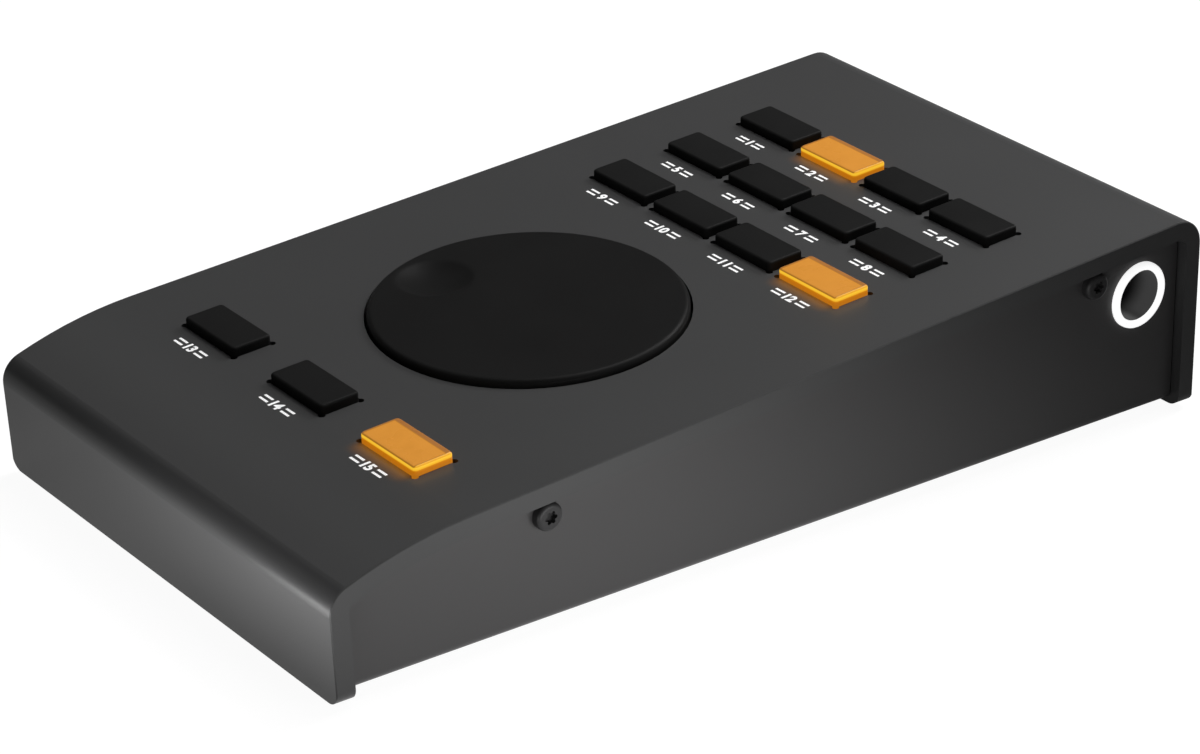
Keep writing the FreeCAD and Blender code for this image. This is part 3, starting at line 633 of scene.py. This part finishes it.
# Inlet: a square socket in the rear wall, its folded steel shell set a little
# back from the wall's face, with a pale moulded insert and contact tongue.
inlet_finish, place, feed = finish("inlet_pale_moulding", Specular_IOR_Level=0.35)
grain = place.noise(2600.0, 2.0)
feed(Base_Color=grain.tint((0.66, 0.66, 0.64), (0.74, 0.74, 0.72)), Roughness=grain * 0.15 + 0.40,
     Normal=grain_bump(grain, 0.00002, 0.2))
dress(inlet_finish, "inlet_core")

# Key numbers: white ink, screen-printed on the slope in front of each key, a
# plain numeral between pairs of short bars. The ink stands 0.024 mm proud.
INK_THICKNESS = 0.02
INK_LIFT = 0.004
NUMERAL_HEIGHT = 2.4
NUMERAL_WEIGHT = 0.042
NUMERAL_CURVE_STEPS = 4
LABEL_GAP = 2.8
BAR_LENGTH = 2.6
BAR_HEIGHT = 0.52
BAR_GAP = 0.8
BAR_RISE = 0.62

# the ink also emits a little white light, a painted glow that keeps it bright
ink, place, feed = finish("label_white_ink", Specular_IOR_Level=0.2, Emission_Strength=0.20)
grain = place.noise(5200.0, 3.0)
feed(Base_Color=grain.tint((0.86, 0.86, 0.86), (0.95, 0.95, 0.95)),
     Emission_Color=grain.tint((0.9, 0.9, 0.9), WHITE),
     Roughness=grain * 0.2 + 0.55)


def numeral_points(number):
    """Flat mesh of a plain numeral, its points and faces, centred and scaled to the numeral height."""
    text = bpy.data.curves.new("numeral", "FONT")
    text.body = str(number)
    text.resolution_u = NUMERAL_CURVE_STEPS
    text.offset = NUMERAL_WEIGHT
    holder = bpy.data.objects.new("numeral", text)
    bpy.context.scene.collection.objects.link(holder)
    bpy.context.view_layer.update()
    flat = bpy.data.meshes.new_from_object(holder.evaluated_get(bpy.context.evaluated_depsgraph_get()))
    points = np.empty(len(flat.vertices) * 3)
    flat.vertices.foreach_get("co", points)
    points = points.reshape(-1, 3)[:, :2]
    faces = [list(p.vertices) for p in flat.polygons]
    bpy.data.objects.remove(holder)
    bpy.data.curves.remove(text)
    bpy.data.meshes.remove(flat)
    low, high = points.min(axis=0), points.max(axis=0)
    return (points - (low + high) / 2) * (NUMERAL_HEIGHT / (high[1] - low[1])), faces


half = BAR_HEIGHT / 2
bar = np.array([(0, -half), (BAR_LENGTH, -half), (BAR_LENGTH, half), (0, half)])
for number, (x, v) in enumerate(key_centres, start=1):
    points, faces = numeral_points(number)
    reach = points[:, 0].max() + BAR_GAP
    for start in (reach, -reach - BAR_LENGTH):
        for rise in (BAR_RISE, -BAR_RISE):
            faces.append([len(points) + k for k in range(len(bar))])
            points = np.concatenate([points, bar + (start, rise)])
    label_v = v - CAP_WIDTH / 2 - LABEL_GAP - NUMERAL_HEIGHT / 2
    placed = on_plate(x + points[:, 0], label_v + points[:, 1], np.full(len(points), INK_LIFT))
    mesh = bpy.data.meshes.new("key_number_%02d" % number)
    mesh.from_pydata(placed.tolist(), [], faces)
    mesh.materials.append(ink)
    label = bpy.data.objects.new("key_number_%02d" % number, mesh)
    bpy.context.scene.collection.objects.link(label)
    body = label.modifiers.new("ink", "SOLIDIFY")
    body.thickness = INK_THICKNESS * MM
    body.offset = 1.0
    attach(label, "housing")

# Studio: a plain floor that is white to the camera and, for gloss, fades towards
# the rear and the left. The surroundings are white at the horizon and dim above
# it. Three lamps overhead, one behind, and a low card at the front and the right.
WORLD_DIM = 0.04
WORLD_OVERHEAD = 0.03
WORLD_WHITE_BELOW = 0.00
WORLD_DIM_ABOVE = 0.06
FLOOR_GLOW = 0.95
GLOSS_FADE_FROM = -0.02
GLOSS_FADE_TO = 0.13
GLOSS_AT_REAR = 0.03
GLOSS_LEFT_FROM = 0.00
GLOSS_LEFT_TO = -0.11
GLOSS_AT_LEFT = 0.45
FLOOR_GREY = 0.12
FLOOR_REACH = 4.0


def seen_by(tree, *rays):
    """1 for a ray of one of these kinds and 0 for the others, as a wire."""
    path = tree.nodes.new("ShaderNodeLightPath")
    seen = Wire(tree, path.outputs[rays[0]])
    for ray in rays[1:]:
        seen = seen.or_more(Wire(tree, path.outputs[ray]))
    return seen


world = bpy.data.worlds.new("studio_surroundings")
bpy.context.scene.world = world
world.use_nodes = True
tree = world.node_tree
rise = Wire(tree, tree.nodes.new("ShaderNodeTexCoord").outputs["Object"]).part(2)
cove = rise.between(WORLD_DIM_ABOVE, WORLD_WHITE_BELOW) * (1.0 - WORLD_OVERHEAD) + WORLD_OVERHEAD
gloss = seen_by(tree, "Is Glossy Ray", "Is Transmission Ray")
level = gloss * (cove - WORLD_DIM) + WORLD_DIM
level = level.or_more(seen_by(tree, "Is Camera Ray"))
tree.nodes["Background"].inputs["Color"].default_value = (*WHITE, 1.0)
tree.links.new(level.socket, tree.nodes["Background"].inputs["Strength"])

floor_mesh = bpy.data.meshes.new("studio_floor")
floor_signs = ((-1, -1), (1, -1), (1, 1), (-1, 1))
floor_corners = [(side * FLOOR_REACH, end * FLOOR_REACH, 0.0) for side, end in floor_signs]
floor_mesh.from_pydata(floor_corners, [], [(0, 1, 2, 3)])
floor = bpy.data.objects.new("studio_floor", floor_mesh)
bpy.context.scene.collection.objects.link(floor)
floor_finish, place, feed = finish("floor_pale", Specular_IOR_Level=0.0, Roughness=1.0,
                                   Base_Color=(FLOOR_GREY, FLOOR_GREY, FLOOR_GREY, 1.0),
                                   Emission_Strength=1.0)
to_rear = place.part(1).between(GLOSS_FADE_TO, GLOSS_FADE_FROM) * (1.0 - GLOSS_AT_REAR) + GLOSS_AT_REAR
to_left = place.part(0).between(GLOSS_LEFT_TO, GLOSS_LEFT_FROM) * (1.0 - GLOSS_AT_LEFT) + GLOSS_AT_LEFT
glow = seen_by(place.tree, "Is Glossy Ray", "Is Transmission Ray") * (to_rear * to_left)
glow = glow.or_more(seen_by(place.tree, "Is Camera Ray")) * FLOOR_GLOW
feed(Emission_Color=glow.tint(BLACK, WHITE))
floor_mesh.materials.append(floor_finish)


def softbox(name, place, aim, width, height, power):
    """An area lamp at a place, facing the point aimed at."""
    light = bpy.data.lights.new(name, "AREA")
    light.shape = "RECTANGLE"
    light.size, light.size_y = width, height
    light.energy = power
    lamp = bpy.data.objects.new(name, light)
    direction = np.array(place, float) - np.array(aim, float)
    back = direction / np.linalg.norm(direction)
    across = np.cross((0.0, 0.0, 1.0) if abs(back[2]) < 0.98 else (0.0, 1.0, 0.0), back)
    across /= np.linalg.norm(across)
    up = np.cross(back, across)
    turn = np.eye(4)
    turn[:3, :4] = np.stack([across, up, back, place], axis=1)
    lamp.matrix_world = Matrix(turn.tolist())
    lamp.visible_camera = False
    bpy.context.scene.collection.objects.link(lamp)
    return lamp


PART_MIDDLE = (0.0, 0.0, 0.03)
softbox("overhead_rear_lamp", (-0.15, 0.55, 0.95), PART_MIDDLE, 0.50, 0.40, 4.9)
softbox("rear_lamp", (-0.05, 0.82, 0.62), PART_MIDDLE, 0.40, 0.25, 4.9)
softbox("overhead_lamp", (0.05, 0.20, 0.95), PART_MIDDLE, 0.50, 0.50, 2.8)
softbox("overhead_left_lamp", (-0.75, 0.00, 0.80), PART_MIDDLE, 0.50, 0.50, 0.40)
# a card that lies on the floor and shines up, and a panel that shines at the right cheek
softbox("front_wall_card", (0.045, -0.155, 0.003), (0.045, -0.155, 0.5), 0.08, 0.06, 0.120)
softbox("side_wall_panel", (0.135, -0.050, 0.026), (0.0, -0.050, 0.026), 0.10, 0.040, 0.068)

# Camera: placed, turned and zoomed so that the part's edges lie where the
# photograph has them. The lens is in millimetres and the place in metres.
LENS = 113.719
SENSOR_WIDTH = 36.0
CAMERA_PLACE = (0.506869, -0.413309, 0.333333)
AZIMUTH = math.radians(51.1073)
ELEVATION = math.radians(26.0727)
ROLL = math.radians(2.0639)
camera = bpy.data.objects.new("camera", bpy.data.cameras.new("camera"))
camera.data.lens = LENS
camera.data.sensor_width = SENSOR_WIDTH
camera.matrix_world = (Matrix.Translation(CAMERA_PLACE) @ Matrix.Rotation(AZIMUTH, 4, "Z")
                       @ Matrix.Rotation(math.pi / 2 - ELEVATION, 4, "X") @ Matrix.Rotation(ROLL, 4, "Z"))
bpy.context.scene.collection.objects.link(camera)
bpy.context.scene.camera = camera
bpy.context.scene.view_settings.view_transform = "Standard"
